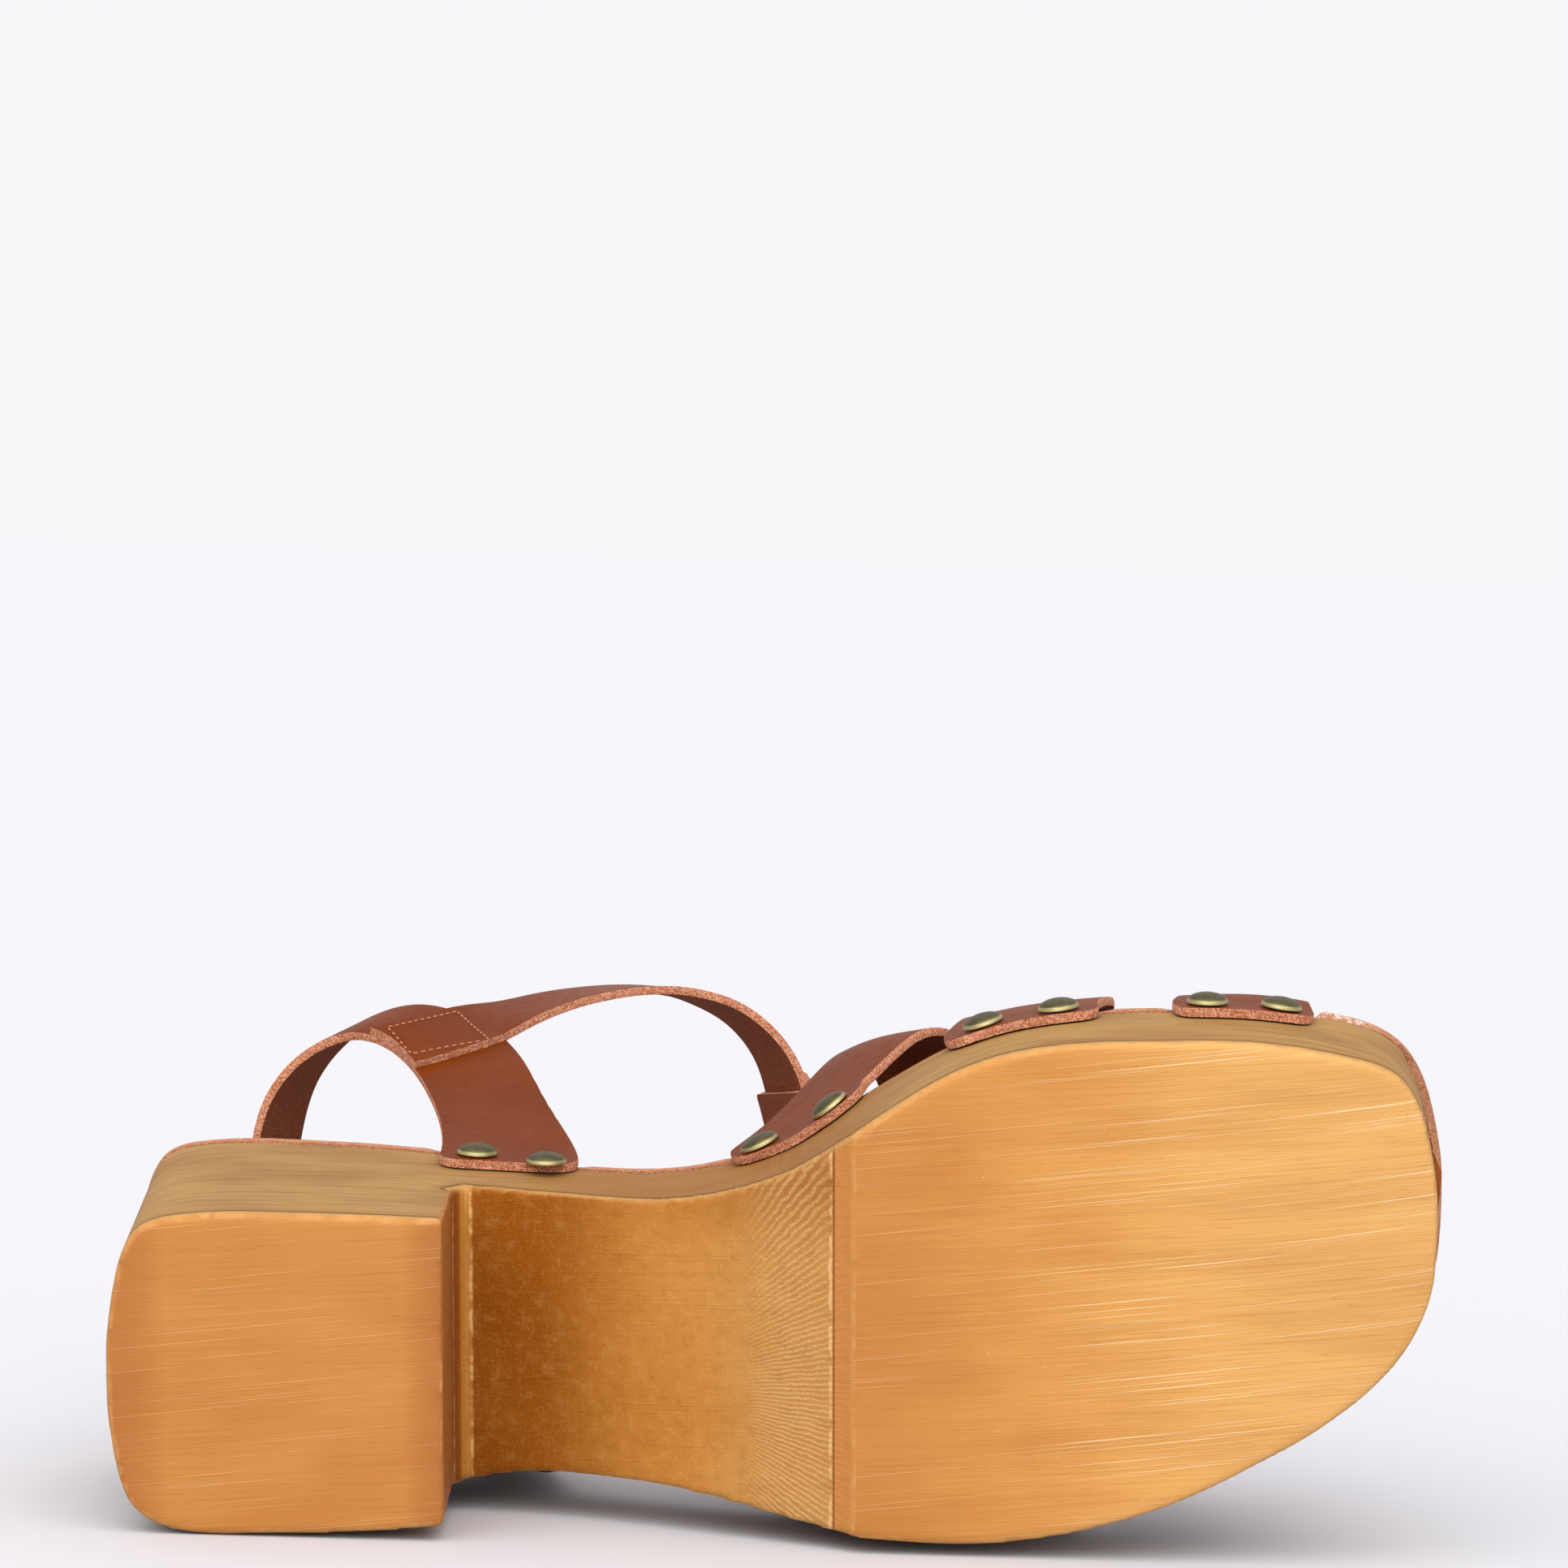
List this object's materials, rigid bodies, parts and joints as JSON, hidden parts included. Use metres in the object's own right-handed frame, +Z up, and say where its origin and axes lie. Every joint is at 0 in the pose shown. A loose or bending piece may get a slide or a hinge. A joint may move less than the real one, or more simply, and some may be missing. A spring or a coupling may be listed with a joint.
{
  "type": "wooden heeled sandal",
  "caption": "Left wooden heeled sandal with nailed leather straps over the forefoot and a buckled ankle strap, lying on its outer side.",
  "frame": {"origin": "centre of the bounding box's bottom face, on the floor that the sandal lies on", "axes": "+X from the heel to the toe, +Y from the bottom of the sole to the ankle strap, +Z up, from the outer side of the foot to the inner side"},
  "size_m": [0.253, 0.1646, 0.1063],
  "materials": {
    "stained_wood": "stained and lightly brushed, satin",
    "insole_leather": "matt leather with a raw edge",
    "strap_leather": "smooth reddish brown leather with raw edges",
    "antique_brass": "antique brass with worn bright rims"
  },
  "bodies": {
    "root": {"wooden_sole": "stained_wood", "insole": "insole_leather", "front_straps": "strap_leather", "toe_strap": "strap_leather", "ankle_straps": "strap_leather", "strap_tip": "strap_leather", "keeper": "strap_leather", "buckle_frame": "antique_brass", "buckle_prong": "antique_brass", "stud_back_inner_1": "antique_brass", "stud_back_inner_2": "antique_brass", "stud_back_outer_1": "antique_brass", "stud_back_outer_2": "antique_brass", "stud_rear_inner_1": "antique_brass", "stud_rear_inner_2": "antique_brass", "stud_rear_outer_1": "antique_brass", "stud_rear_outer_2": "antique_brass", "stud_middle_inner_1": "antique_brass", "stud_middle_inner_2": "antique_brass", "stud_middle_outer_1": "antique_brass", "stud_middle_outer_2": "antique_brass", "stud_toe_inner_1": "antique_brass", "stud_toe_inner_2": "antique_brass", "stud_toe_outer_1": "antique_brass", "stud_toe_outer_2": "antique_brass"}
  },
  "joints": []
}
